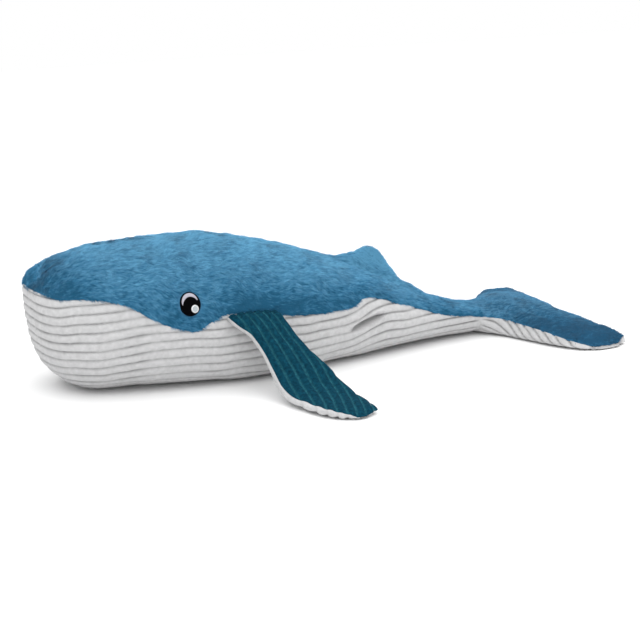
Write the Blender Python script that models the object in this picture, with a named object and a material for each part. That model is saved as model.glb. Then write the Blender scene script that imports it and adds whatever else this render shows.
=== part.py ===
import math

import bmesh
import bpy
import numpy as np

# A stuffed whale that lies on its belly, nose towards -X, left side towards -Y, floor at Z = 0.
# Lengths are in metres and angles in degrees.
LENGTH = 0.857
BODY_HEIGHT = 0.196
BODY_HALF_WIDTH = 0.108
FABRIC = 0.002
SEWN_GAP = 0.0003
KNUCKLE_GAP = 0.0005
BELLY_FLAT = 0.0005
FLOOR_GAP = 0.0004
EDGE_HALF = 0.0015
CORE_EASE = 0.0008
FLUKE_CORE_EASE = 0.0028

# The tail bends where it leaves the body and again just before the flukes.
SWAY_SHARE = 0.713
FLUKE_SHARE = 0.806
CUFF_ANGLE = 28
CORE_ANGLE = 50

FLUKE_HALF_SPAN = 0.176
FLUKE_CREST = 0.021
FLUKE_NOTCH = 0.012

FLIPPER_REACH = 0.196
FLIPPER_CHORD = 0.078
FLIPPER_HALF_THICKNESS = 0.009
FLIPPER_FRONT_SHARE = 0.293
FLIPPER_LEVEL_SHARE = 0.49
FLIPPER_TWIST = 0.020
# The covers are faceted, so a flank lies inside its true curve by about this share of its width.
FLANK_SAG_SHARE = 0.0062

FIN_HEIGHT = 0.036
FIN_HALF_WIDTH = 0.015
FIN_FRONT_SHARE = 0.545
FIN_REAR_SHARE = 0.668

EYE_WIDTH = 0.030
EYE_HEIGHT = 0.032
EYE_THICKNESS = 0.0010
EYE_SHARE = 0.2243
EYE_LEVEL_SHARE = 0.633
GLINT_DIAMETER = 0.012

# Along the length, as shares of it: the height of the back, of the belly and of the sewn seam in
# shares of the body's height, and the half width in shares of the body's half width.
BACK_SHARES = (
    (0, 0.74), (0.0035, 0.79), (0.013, 0.84), (0.035, 0.895), (0.07, 0.945), (0.12, 0.985),
    (0.21, 1), (0.295, 0.985), (0.39, 0.90), (0.485, 0.78), (0.57, 0.63), (0.64, 0.49),
    (0.71, 0.35), (0.78, 0.262), (0.865, 0.235),
)
BELLY_SHARES = (
    (0, 0.74), (0.0035, 0.48), (0.013, 0.31), (0.035, 0.15), (0.065, 0.045), (0.1, 0),
    (0.55, 0), (0.64, 0.012), (0.71, 0.015), (0.8, 0.012), (1, 0.012),
)
WIDTH_SHARES = (
    (0, 0), (0.0035, 0.34), (0.013, 0.52), (0.035, 0.67), (0.078, 0.80), (0.156, 0.91),
    (0.26, 1), (0.39, 0.98), (0.50, 0.86), (0.605, 0.68), (0.709, 0.50), (0.795, 0.38), (0.865, 0.35),
)
SEAM_SHARES = (
    (0, 0.74), (0.01, 0.731), (0.03, 0.712), (0.055, 0.716), (0.087, 0.703), (0.125, 0.66),
    (0.163, 0.56), (0.195, 0.486), (0.234, 0.445), (0.26, 0.492), (0.284, 0.533), (0.33, 0.53),
    (0.38, 0.483), (0.43, 0.45), (0.52, 0.438), (0.552, 0.474), (0.567, 0.47), (0.62, 0.394),
    (0.67, 0.314), (0.706, 0.258), (0.742, 0.215), (0.779, 0.18), (0.806, 0.15), (0.865, 0.13),
)
# The widest level, as a share of the height there, and how boxy each half of the section is.
LEVEL_SHARES = (
    (0, 0.6), (0.009, 0.69), (0.035, 0.58), (0.087, 0.515), (0.173, 0.453), (0.39, 0.445),
    (0.56, 0.46), (0.70, 0.5), (1, 0.5),
)
UPPER_POWERS = ((0, 2.2), (0.5, 2.1), (0.70, 2), (1, 2))
LOWER_POWERS = (
    (0, 2.2), (0.05, 2.4), (0.13, 2.6), (0.2, 3), (0.26, 3.6), (0.346, 5), (0.476, 5.5),
    (0.605, 4), (0.70, 2), (1, 2),
)
BODY_STATION_SHARES = (
    0, 0.0015, 0.006, 0.016, 0.034, 0.06, 0.095, 0.14, 0.18, 0.222, 0.265, 0.31, 0.36, 0.41,
    0.46, 0.51, 0.56, 0.61,
)
# The flukes, from their hinge (0) to the trailing edge (1).
FLUKE_SPAN_SHARES = (
    (0, 0.23), (0.1, 0.25), (0.2, 0.37), (0.32, 0.58), (0.44, 0.76), (0.56, 0.89),
    (0.68, 0.975), (0.8, 1), (0.92, 0.96), (1, 0.87),
)
FLUKE_CREST_SHARES = ((0, 1), (0.3, 1), (0.6, 0.95), (0.8, 0.80), (0.92, 0.55), (1, 0.12))
# Out along a fluke: the level of its sewn edge, in shares of the neck's level.
FLUKE_EDGE_SHARES = ((0, 1), (0.25, 1), (0.45, 0.98), (0.65, 0.78), (0.85, 0.48), (1, 0.30))

# Out along a flipper: its leading and trailing edges in shares of its chord, how far it has come
# down to the floor, how far its trailing edge is lifted, and its thickness.
FLIPPER_LEAD_SHARES = (
    (0, 0), (0.09, 0.21), (0.15, 0.30), (0.23, 0.35), (0.43, 0.36), (0.56, 0.41), (0.68, 0.49),
    (0.83, 0.62), (0.93, 0.79), (1, 1.08),
)
FLIPPER_TRAIL_SHARES = (
    (0, 0.95), (0.10, 1.02), (0.20, 1.09), (0.30, 1.16), (0.40, 1.22), (0.505, 1.29),
    (0.606, 1.37), (0.73, 1.46), (0.83, 1.50), (0.93, 1.46), (1, 1.25),
)
FLIPPER_DROP_SHARES = (
    (0, 0), (0.09, 0.20), (0.15, 0.37), (0.23, 0.56), (0.33, 0.76), (0.43, 0.91), (0.56, 0.985),
    (0.68, 1), (1, 1),
)
FLIPPER_LIFT_SHARES = (
    (0, 0), (0.1, 0.1), (0.2, 0.55), (0.3, 0.85), (0.4, 1), (0.5, 0.8), (0.6, 0.5), (0.73, 0.15),
    (0.85, 0), (1, 0),
)
FLIPPER_THICKNESS_SHARES = ((0, 1), (0.3, 1.05), (0.6, 0.95), (0.85, 0.8), (0.96, 0.6), (1, 0.4))

# From the fin's front foot (0) to its rear foot (1).
FIN_RISE_SHARES = ((0, 0), (0.2, 0.22), (0.42, 0.72), (0.58, 1), (0.72, 0.9), (0.88, 0.4), (1, 0))
FIN_WIDTH_SHARES = ((0, 0.5), (0.3, 0.9), (0.6, 1), (0.85, 0.8), (1, 0.45))

BACK_COLUMNS = 13
BELLY_COLUMNS = 15
TAIL_COLUMNS = 9
FLUKE_COLUMNS = 11
FLIPPER_COLUMNS = 7

NOSE_X = -LENGTH / 2


def smooth_curve(knots, at):
    # A monotone cubic through the knots: it never swings past a knot's value.
    knots = np.array(knots, float)
    x, y = knots[:, 0], knots[:, 1]
    step, rise = np.diff(x), np.diff(y) / np.diff(x)
    slope = np.concatenate([rise[:1], np.zeros(len(x) - 2), rise[-1:]])
    for i in range(1, len(x) - 1):
        if rise[i - 1] * rise[i] > 0:
            before, after = 2 * step[i] + step[i - 1], step[i] + 2 * step[i - 1]
            slope[i] = (before + after) / (before / rise[i - 1] + after / rise[i])
    at = np.clip(at, x[0], x[-1])
    i = np.clip(np.searchsorted(x, at, side="right") - 1, 0, len(x) - 2)
    t = (at - x[i]) / step[i]
    start = (1 + 2 * t) * (1 - t) ** 2 * y[i] + t * (1 - t) ** 2 * step[i] * slope[i]
    end = t * t * (3 - 2 * t) * y[i + 1] + t * t * (t - 1) * step[i] * slope[i + 1]
    return start + end


def along_body(knots, share):
    # The blunt nose needs its knots spread by the square root of the distance from it.
    spread = [(math.sqrt(at), value) for at, value in knots]
    return float(smooth_curve(spread, math.sqrt(max(share, 0))))


def hull_section(x):
    share = (x - NOSE_X) / LENGTH
    top = along_body(BACK_SHARES, share) * BODY_HEIGHT
    bottom = along_body(BELLY_SHARES, share) * BODY_HEIGHT - BELLY_FLAT
    level = bottom + (top - bottom) * along_body(LEVEL_SHARES, share)
    return {
        "half_width": along_body(WIDTH_SHARES, share) * BODY_HALF_WIDTH,
        "level": level,
        "rise": top - level,
        "depth": level - bottom,
        "upper_power": along_body(UPPER_POWERS, share),
        "lower_power": along_body(LOWER_POWERS, share),
        "seam": along_body(SEAM_SHARES, share) * BODY_HEIGHT,
    }


SWAY_X = NOSE_X + SWAY_SHARE * LENGTH
FLUKE_X = NOSE_X + FLUKE_SHARE * LENGTH
SWAY = hull_section(SWAY_X)
NECK = hull_section(FLUKE_X)
# A cover is never thicker than the room its cuff has outside the knuckle at the narrow neck.
SKIN = min(FABRIC, 0.8 * (1 - math.cos(math.radians(CUFF_ANGLE))) * NECK["rise"])
# The sway knuckle is round seen from above, and the neck's knuckle is round seen from the side.
SWAY_RADIUS = SWAY["half_width"]
NECK_RADIUS = NECK["rise"]


def knuckle_section(joint, radius, ahead):
    # The half ellipsoid in front of a joint, which turns in the cuff without touching it.
    shrink = math.sqrt(max(1 - (ahead / radius) ** 2, 0))
    section = dict(joint)
    for size in ("half_width", "rise", "depth"):
        section[size] = joint[size] * shrink
    section["seam"] = joint["level"] + (joint["seam"] - joint["level"]) * shrink
    return section


def tail_section(x):
    if x < SWAY_X:
        return knuckle_section(SWAY, SWAY_RADIUS, SWAY_X - x)
    return hull_section(x)


def outline_fault(section_at, x, y, z):
    # Below 1 inside the section's outline and above 1 outside it.
    section = section_at(x)
    above = z >= section["level"]
    power = section["upper_power"] if above else section["lower_power"]
    height = section["rise"] if above else section["depth"]
    across = np.abs(y / max(section["half_width"], SEWN_GAP)) ** power
    return across + np.abs((z - section["level"]) / max(height, SEWN_GAP)) ** power


def outward(section_at, point, nose_x):
    # The surface normal, from the slope of the outline's equation.
    if point[0] - nose_x < SEWN_GAP / 10:
        return np.array((-1.0, 0.0, 0.0))
    reach = SEWN_GAP / 100
    slope = np.zeros(3)
    for axis in range(3):
        step = np.zeros(3)
        step[axis] = reach
        slope[axis] = outline_fault(section_at, *(point + step)) - outline_fault(section_at, *(point - step))
    return slope / np.linalg.norm(slope)


def section_arc(section, x, upper, count):
    # Points at even distances over the back, or under the belly, from the left seam to the right.
    if section["half_width"] <= 0:
        return np.tile((x, 0.0, section["seam"]), (count, 1))
    seam_rise = min(max((section["seam"] - section["level"]) / section["rise"], 0), 0.98)
    seam_angle = math.asin(seam_rise ** (section["upper_power"] / 2))
    ends = (seam_angle, math.pi - seam_angle) if upper else (seam_angle, -math.pi - seam_angle)
    angle = np.linspace(*ends, 721)
    cosine, sine = np.cos(angle), np.sin(angle)
    power = np.where(sine >= 0, section["upper_power"], section["lower_power"])
    height = np.where(sine >= 0, section["rise"], section["depth"])
    y = -section["half_width"] * np.sign(cosine) * np.abs(cosine) ** (2 / power)
    z = section["level"] + height * np.sign(sine) * np.abs(sine) ** (2 / power)
    run = np.concatenate([[0], np.cumsum(np.hypot(np.diff(y), np.diff(z)))])
    inset = SEWN_GAP / 2
    if run[-1] > 4 * inset:
        places = np.linspace(inset, run[-1] - inset, count)
    else:
        places = np.linspace(0, run[-1], count)
    return np.column_stack([np.full(count, x), np.interp(places, run, y), np.interp(places, run, z)])


def barrel_cover(section_at, stations, upper, count):
    # The outer and inner faces of one cover of a swelling, tapering body.
    outer, inner = [], []
    for x in stations:
        arc = section_arc(section_at(x), x, upper, count)
        if x == stations[0]:
            arc[:, 2] += SEWN_GAP / 2 if upper else -SEWN_GAP / 2
        normals = np.array([outward(section_at, point, stations[0]) for point in arc])
        inner.append(arc - SKIN * normals)
        arc[:, 2] = np.maximum(arc[:, 2], 0)
        outer.append(arc)
    return np.array(outer), np.array(inner)


def barrel_core(section_at, stations, upper_count, lower_count):
    # The filling's rings lie inside both covers, point for point.
    rings = []
    for x in stations:
        section = section_at(x)
        over = section_arc(section, x, True, upper_count)
        under = section_arc(section, x, False, lower_count)[::-1]
        ring = np.concatenate([over, under[1:-1]])
        normals = np.array([outward(section_at, point, stations[0]) for point in ring])
        rings.append(ring - (SKIN + SEWN_GAP) * normals)
    return rings


def socket_rings(joint, joint_x, radius, count, ring_count):
    # The hollow in a filling's rear end, around the next piece's knuckle.
    rings = []
    turn = np.linspace(math.pi, math.pi - 2 * math.pi, count, endpoint=False)
    for angle in np.linspace(CORE_ANGLE, 90, ring_count):
        shrink = math.cos(math.radians(angle))
        x = joint_x - (radius + KNUCKLE_GAP) * math.sin(math.radians(angle))
        y = (joint["half_width"] + KNUCKLE_GAP) * shrink * np.cos(turn)
        height = np.where(np.sin(turn) >= 0, joint["rise"], joint["depth"]) + KNUCKLE_GAP
        z = joint["level"] + height * shrink * np.sin(turn)
        rings.append(np.column_stack([np.full(count, x), y, z]))
    return rings


def new_material(name, colour, roughness):
    material = bpy.data.materials.new(name)
    material.use_nodes = True
    shader = material.node_tree.nodes["Principled BSDF"]
    shader.inputs["Base Color"].default_value = (*colour, 1)
    shader.inputs["Roughness"].default_value = roughness
    shader.inputs["Metallic"].default_value = 0
    return material


def new_piece(name, points, faces, look, pivot=None):
    # A closed mesh, whose points are kept relative to the pivot that carries it.
    centre = np.array(pivot.location) if pivot else np.zeros(3)
    mesh = bpy.data.meshes.new(name)
    mesh.from_pydata([tuple(point - centre) for point in points], [], faces)
    shape = bmesh.new()
    shape.from_mesh(mesh)
    bmesh.ops.remove_doubles(shape, verts=shape.verts, dist=SEWN_GAP / 100)
    bmesh.ops.recalc_face_normals(shape, faces=shape.faces)
    bmesh.ops.triangulate(shape, faces=shape.faces, quad_method="SHORT_EDGE")
    if shape.calc_volume(signed=True) < 0:
        bmesh.ops.reverse_faces(shape, faces=shape.faces)
    shape.to_mesh(mesh)
    shape.free()
    mesh.shade_smooth()
    mesh.set_sharp_from_angle(angle=math.radians(50))
    mesh.materials.append(new_material(name, *look))
    piece = bpy.data.objects.new(name, mesh)
    piece.parent = pivot
    bpy.context.scene.collection.objects.link(piece)
    return piece


def new_slab(name, outer, inner, look, pivot=None):
    # Two matching grids of points, closed all round by a rim.
    rows, columns = outer.shape[:2]
    points = np.concatenate([outer.reshape(-1, 3), inner.reshape(-1, 3)])
    behind = rows * columns
    faces = []
    for i in range(rows - 1):
        for j in range(columns - 1):
            a, b = i * columns + j, (i + 1) * columns + j
            faces.append((a, a + 1, b + 1, b))
            faces.append((a + behind, b + behind, b + 1 + behind, a + 1 + behind))
        for j in (0, columns - 1):
            a, b = i * columns + j, (i + 1) * columns + j
            faces.append((a, b, b + behind, a + behind) if j == 0 else (b, a, a + behind, b + behind))
    for j in range(columns - 1):
        for i in (0, rows - 1):
            a, b = i * columns + j, i * columns + j + 1
            faces.append((b, a, a + behind, b + behind) if i == 0 else (a, b, b + behind, a + behind))
    return new_piece(name, points, faces, look, pivot)


def new_loft(name, rings, look, pivot=None):
    # Rings of points joined in turn, with the first and last drawn to a point or closed flat.
    rings = np.array(rings)
    count = rings.shape[1]
    faces = []
    for i in range(len(rings) - 1):
        for j in range(count):
            a, b = i * count + j, i * count + (j + 1) % count
            faces.append((a, b, b + count, a + count))
    last = (len(rings) - 1) * count
    for ring, start in ((rings[0], 0), (rings[-1], last)):
        if np.ptp(ring, axis=0).max() > SEWN_GAP / 10:
            faces.append(tuple(range(start, start + count)))
    return new_piece(name, rings.reshape(-1, 3), faces, look, pivot)


def new_pivot(name, location):
    pivot = bpy.data.objects.new(name, None)
    pivot.location = location
    pivot.empty_display_size = BODY_HEIGHT / 4
    bpy.context.scene.collection.objects.link(pivot)
    return pivot


def blade_covers(row_at, places, columns):
    # Upper and lower covers of a flat limb: each is a skin over half of it, thin at the sewn edge.
    across = np.sin(np.linspace(-math.pi / 2, math.pi / 2, columns))
    grids = {"upper": [[], []], "lower": [[], []]}
    for place in places:
        middle, above, below, up = row_at(place, across)
        for side, thickness, sign in (("upper", above, 1), ("lower", below, -1)):
            lining = np.maximum(thickness - SKIN, SEWN_GAP / 2)
            grids[side][0].append(middle + sign * thickness[:, None] * up)
            grids[side][1].append(middle + sign * lining[:, None] * up)
    return [[np.array(grid) for grid in grids[side]] for side in ("upper", "lower")]


def blade_core(row_at, places, columns, ease):
    # The filling reaches as far across as both covers leave room for it.
    room = SKIN + ease
    tops, bottoms = [], []
    for place in places:
        trial = np.linspace(0, 1, 201)
        reach = 0
        for direction in (1, -1):
            _, above, below, _ = row_at(place, trial * direction)
            fits = np.minimum(above, below) > room + SEWN_GAP
            limit = trial[fits].max() if fits.any() else 0
            reach = limit if direction == 1 else min(reach, limit)
        if reach < 0.2:
            continue
        across = reach * np.sin(np.linspace(-math.pi / 2, math.pi / 2, columns))
        middle, above, below, up = row_at(place, across)
        tops.append(middle + (above - room)[:, None] * up)
        bottoms.append(middle - (below - room)[:, None] * up)
    return np.array(tops), np.array(bottoms)


def rounded(across, power):
    return (1 - np.minimum(np.abs(across), 1) ** power) ** (1 / power)


def fluke_row(x, across):
    # One cut across the flukes: middle surface, thickness above and below it, and the up direction.
    if x < FLUKE_X:
        knuckle = knuckle_section(NECK, NECK_RADIUS, FLUKE_X - x)
        y = knuckle["half_width"] * across
        above = below = knuckle["rise"] * rounded(across, 2)
        z = np.full_like(y, NECK["level"])
        notch = 0
    else:
        share = (x - FLUKE_X) / (LENGTH / 2 - FLUKE_X)
        neck_span = NECK["half_width"] / FLUKE_HALF_SPAN
        spans = ((0, neck_span),) + tuple((at, max(span, neck_span)) for at, span in FLUKE_SPAN_SHARES[1:])
        half_span = float(smooth_curve(spans, share)) * FLUKE_HALF_SPAN
        y = half_span * across
        edge = smooth_curve(FLUKE_EDGE_SHARES, np.abs(y) / FLUKE_HALF_SPAN)
        z = FLOOR_GAP + (NECK["level"] - FLOOR_GAP) * edge
        crest = NECK_RADIUS + (FLUKE_CREST - NECK_RADIUS) * min(share / 0.3, 1)
        crest *= float(smooth_curve(FLUKE_CREST_SHARES, share))
        fullness = 2 + min(share / 0.3, 1)
        above = crest * rounded(across, 2)
        below = np.minimum(crest * 1.2, z - FLOOR_GAP) * rounded(across, fullness)
        below = np.minimum(below, z - FLOOR_GAP)
        if share < 0.1:
            below = np.minimum(below, NECK_RADIUS * rounded(across, fullness))
        late = max(share - 0.7, 0) / 0.3
        notch = FLUKE_NOTCH * late * np.maximum(1 - np.abs(y) / (0.3 * FLUKE_HALF_SPAN), 0) ** 2
    middle = np.column_stack([np.full_like(y, x) - notch, y, z])
    up = np.tile((0.0, 0.0, 1.0), (len(y), 1))
    return middle, np.maximum(above, EDGE_HALF), np.maximum(below, np.minimum(EDGE_HALF, z - FLOOR_GAP)), up


FLIPPER_FRONT_X = NOSE_X + FLIPPER_FRONT_SHARE * LENGTH
FLIPPER_AXIS_Z = FLIPPER_LEVEL_SHARE * BODY_HEIGHT


def flank_width(section, z):
    # Half the body's width at one level of a section.
    above = z >= section["level"]
    height = section["rise"] if above else section["depth"]
    power = section["upper_power"] if above else section["lower_power"]
    share = min(abs(z - section["level"]) / height, 1)
    return section["half_width"] * (1 - share ** power) ** (1 / power)


def root_axis_y():
    # As near the flank as the flipper's round root can lie without touching it.
    clear = FLIPPER_HALF_THICKNESS + SEWN_GAP - FLANK_SAG_SHARE * BODY_HALF_WIDTH
    nearest = 0
    for x in np.linspace(FLIPPER_FRONT_X, FLIPPER_FRONT_X + FLIPPER_CHORD, 5):
        section = hull_section(x)
        for offset in np.linspace(-clear, clear, 19):
            reach = math.sqrt(max(clear ** 2 - offset ** 2, 0))
            nearest = max(nearest, flank_width(section, FLIPPER_AXIS_Z + offset) + reach)
    return nearest


FLIPPER_AXIS_Y = root_axis_y()


def flipper_path(share):
    # The middle of the leading edge, out from the root and down to the floor, seen from the front.
    thickness = float(smooth_curve(FLIPPER_THICKNESS_SHARES, share)) * FLIPPER_HALF_THICKNESS
    drop = float(smooth_curve(FLIPPER_DROP_SHARES, share))
    hung = FLIPPER_AXIS_Z - FLOOR_GAP - FLIPPER_HALF_THICKNESS
    return np.array((FLIPPER_AXIS_Y + share * FLIPPER_REACH, FLOOR_GAP + thickness + hung * (1 - drop)))


def flipper_row(place, across, side):
    # A place below 0 is on the round root, as a share of a quarter turn about the hinge.
    share = max(place, 0)
    step = 0.02
    ahead = flipper_path(min(share + step, 1)) - flipper_path(max(share - step, 0))
    out, down = ahead / np.linalg.norm(ahead)
    start = flipper_path(share)
    thickness = float(smooth_curve(FLIPPER_THICKNESS_SHARES, share)) * FLIPPER_HALF_THICKNESS
    if place < 0:
        turn = -place * math.pi / 2
        start = start - np.array((out, down)) * FLIPPER_HALF_THICKNESS * math.sin(turn)
        thickness = FLIPPER_HALF_THICKNESS * math.cos(turn)
    lead = float(smooth_curve(FLIPPER_LEAD_SHARES, share)) * FLIPPER_CHORD
    trail = float(smooth_curve(FLIPPER_TRAIL_SHARES, share)) * FLIPPER_CHORD
    chord_share = (across + 1) / 2
    lift = float(smooth_curve(FLIPPER_LIFT_SHARES, share)) * FLIPPER_TWIST * chord_share
    x = FLIPPER_FRONT_X + lead + (trail - lead) * chord_share
    y = start[0] - down * lift
    z = start[1] + out * lift
    middle = np.column_stack([x, side * y, z])
    up = np.tile((0.0, side * -down, out), (len(across), 1))
    half = np.maximum(thickness * rounded(across, 2.4), EDGE_HALF)
    return middle, half, half, up


def surface_point(x, z, side):
    # A place on the body's flank and the direction straight out of it.
    point = np.array((x, side * flank_width(hull_section(x), z), z))
    return point, outward(hull_section, point, NOSE_X)


def eye_grid(outline, rings, side, lift):
    # Rings of eye places, each pushed out from the flank.
    grid = []
    for ring in rings:
        row = []
        for across, up in outline(ring):
            x = NOSE_X + EYE_SHARE * LENGTH + across * EYE_WIDTH / 2
            z = EYE_LEVEL_SHARE * BODY_HEIGHT + up * EYE_HEIGHT / 2
            point, normal = surface_point(x, z, side)
            row.append(point + lift * normal)
        grid.append(row)
    return np.array(grid)


def new_eye(side, name):
    angles = np.linspace(0, 2 * math.pi, 20, endpoint=False)

    def disc(ring):
        return [(ring * math.cos(angle), ring * math.sin(angle)) for angle in angles]

    def crescent(ring):
        bend = np.radians(np.linspace(62, 188, 9))
        width = np.sin(np.linspace(0.2, math.pi - 0.2, 9))
        return [
            ((0.86 - 0.30 * ring * w) * math.cos(a), (0.86 - 0.30 * ring * w) * math.sin(a))
            for a, w in zip(bend, width)
        ]

    def glint(ring):
        size = GLINT_DIAMETER / EYE_WIDTH * ring
        middle = (0.36, -0.40)
        return [(middle[0] + size * math.cos(a), middle[1] + size * math.sin(a) * EYE_WIDTH / EYE_HEIGHT) for a in angles]

    under, over = SEWN_GAP, SEWN_GAP + EYE_THICKNESS
    discs = (
        ("patch", disc, under, over, (0.012, 0.012, 0.014)),
        ("glint", glint, over + SEWN_GAP, over + SEWN_GAP + EYE_THICKNESS * 0.8, (0.9, 0.92, 0.94)),
    )
    for part, outline, low, high, colour in discs:
        top = eye_grid(outline, (0, 0.6, 1), side, high)
        bottom = eye_grid(outline, (1, 0.6, 0), side, low)
        new_loft(f"{name}_eye_{part}", np.concatenate([top, bottom]), (colour, 0.45))
    low, high = over + SEWN_GAP, over + SEWN_GAP + EYE_THICKNESS * 0.8
    outer = eye_grid(crescent, (0, 1), side, high)
    inner = eye_grid(crescent, (0, 1), side, low)
    new_slab(f"{name}_eye_crescent", outer, inner, ((0.62, 0.58, 0.66), 0.6))


def new_fin(look):
    # A soft fin that stands on the back, its foot following the back's curve.
    stations = np.linspace(0, 1, 11)
    columns = np.linspace(0, math.pi, 9)
    outer, inner = [], []
    for share in stations:
        place = FIN_FRONT_SHARE + (FIN_REAR_SHARE - FIN_FRONT_SHARE) * share
        x = NOSE_X + place * LENGTH
        section = hull_section(x)
        half_width = float(smooth_curve(FIN_WIDTH_SHARES, share)) * FIN_HALF_WIDTH
        rise = float(smooth_curve(FIN_RISE_SHARES, share)) * FIN_HEIGHT
        y = -half_width * np.cos(columns)
        foot = section["level"] + section["rise"] * rounded(y / section["half_width"], section["upper_power"])
        thick = np.maximum(rise * np.sin(columns) ** 0.8, FABRIC)
        inner.append(np.column_stack([np.full_like(y, x), y, foot + SEWN_GAP]))
        narrow = 1 - 0.35 * np.sin(columns)
        outer.append(np.column_stack([np.full_like(y, x), y * narrow, foot + SEWN_GAP + thick]))
    new_slab("dorsal_fin", np.array(outer), np.array(inner), look)


def build():
    for leftover in list(bpy.data.objects):
        bpy.data.objects.remove(leftover, do_unlink=True)
    blue, blue_flukes = ((0.115, 0.30, 0.47), 0.95), ((0.09, 0.25, 0.40), 0.95)
    white, teal, fibre = ((0.80, 0.81, 0.82), 0.9), ((0.02, 0.12, 0.18), 0.9), ((0.9, 0.9, 0.88), 1)
    cuff, core_cuff = math.sin(math.radians(CUFF_ANGLE)), math.sin(math.radians(CORE_ANGLE))

    body_end = SWAY_X - SWAY_RADIUS * cuff
    core_end = SWAY_X - SWAY_RADIUS * core_cuff
    stations = [NOSE_X + share * LENGTH for share in BODY_STATION_SHARES]
    stations = [x for x in stations if x < core_end - FIN_HALF_WIDTH / 2]
    cover_stations = stations + [core_end, body_end]
    new_slab("back_cover", *barrel_cover(hull_section, cover_stations, True, BACK_COLUMNS), blue)
    new_slab("belly_cover", *barrel_cover(hull_section, cover_stations, False, BELLY_COLUMNS), white)
    rings = barrel_core(hull_section, stations + [core_end], BACK_COLUMNS, BELLY_COLUMNS)
    rings += socket_rings(SWAY, SWAY_X, SWAY_RADIUS, BACK_COLUMNS + BELLY_COLUMNS - 2, 5)
    new_loft("body_filling", rings, fibre)
    new_fin(blue)
    for side, name in ((-1, "left"), (1, "right")):
        new_eye(side, name)

    pivot = new_pivot("tail_sway_axis", (SWAY_X, 0, SWAY["level"]))
    knuckle = [SWAY_X - SWAY_RADIUS * math.cos(math.radians(angle)) for angle in (0, 15, 32, 50, 70)]
    tail_end = FLUKE_X - NECK_RADIUS * cuff
    tail_core_end = FLUKE_X - NECK_RADIUS * core_cuff
    stretch = [SWAY_X + (tail_core_end - SWAY_X) * share for share in (0, 0.3, 0.65, 1)]
    tail_stations = knuckle + stretch + [tail_end]
    new_slab("tail_top_cover", *barrel_cover(tail_section, tail_stations, True, TAIL_COLUMNS), blue, pivot)
    new_slab("tail_underside_cover", *barrel_cover(tail_section, tail_stations, False, TAIL_COLUMNS), white, pivot)
    rings = barrel_core(tail_section, knuckle + stretch, TAIL_COLUMNS, TAIL_COLUMNS)
    rings += socket_rings(NECK, FLUKE_X, NECK_RADIUS, 2 * TAIL_COLUMNS - 2, 4)
    new_loft("tail_filling", rings, fibre, pivot)

    pivot = new_pivot("fluke_lift_axis", (FLUKE_X, 0, NECK["level"]))
    knuckle = [FLUKE_X - NECK_RADIUS * math.cos(math.radians(angle)) for angle in (14, 35, 60)]
    spread = [FLUKE_X + (LENGTH / 2 - FLUKE_X) * share for share in (0, 0.1, 0.22, 0.36, 0.52, 0.68, 0.83, 0.94, 1)]
    upper, lower = blade_covers(fluke_row, knuckle + spread, FLUKE_COLUMNS)
    new_slab("fluke_top_cover", *upper, blue_flukes, pivot)
    new_slab("fluke_underside_cover", *lower, white, pivot)
    new_slab("fluke_filling", *blade_core(fluke_row, knuckle + spread, FLUKE_COLUMNS, FLUKE_CORE_EASE), fibre, pivot)

    for side, name in ((-1, "left"), (1, "right")):
        pivot = new_pivot(f"{name}_flipper_axis", (FLIPPER_FRONT_X, side * FLIPPER_AXIS_Y, FLIPPER_AXIS_Z))

        def row_at(place, across, side=side):
            return flipper_row(place, across, side)

        places = (-0.9, -0.6, -0.3, 0, 0.1, 0.22, 0.36, 0.52, 0.68, 0.82, 0.93, 1)
        upper, lower = blade_covers(row_at, places, FLIPPER_COLUMNS)
        new_slab(f"{name}_flipper_top", *upper, teal, pivot)
        new_slab(f"{name}_flipper_underside", *lower, white, pivot)
        new_slab(f"{name}_flipper_filling", *blade_core(row_at, places, FLIPPER_COLUMNS, CORE_EASE), fibre, pivot)


build()
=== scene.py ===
import math

import bmesh
import bpy
import numpy as np
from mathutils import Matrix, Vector


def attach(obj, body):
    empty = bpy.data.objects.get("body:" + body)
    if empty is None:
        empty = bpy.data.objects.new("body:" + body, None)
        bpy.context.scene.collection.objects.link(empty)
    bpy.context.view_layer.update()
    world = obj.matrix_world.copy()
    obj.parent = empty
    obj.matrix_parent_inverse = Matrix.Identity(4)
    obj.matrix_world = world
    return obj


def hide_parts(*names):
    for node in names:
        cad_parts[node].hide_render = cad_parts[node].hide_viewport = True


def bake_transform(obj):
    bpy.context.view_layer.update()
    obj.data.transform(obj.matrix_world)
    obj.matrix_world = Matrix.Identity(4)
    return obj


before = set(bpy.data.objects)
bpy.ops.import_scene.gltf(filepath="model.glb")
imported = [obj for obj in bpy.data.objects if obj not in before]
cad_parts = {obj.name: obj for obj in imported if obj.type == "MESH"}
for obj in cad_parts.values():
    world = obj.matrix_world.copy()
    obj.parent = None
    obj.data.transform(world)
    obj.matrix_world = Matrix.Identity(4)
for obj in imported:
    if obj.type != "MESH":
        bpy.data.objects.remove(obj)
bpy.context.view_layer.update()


scene = bpy.context.scene

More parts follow.
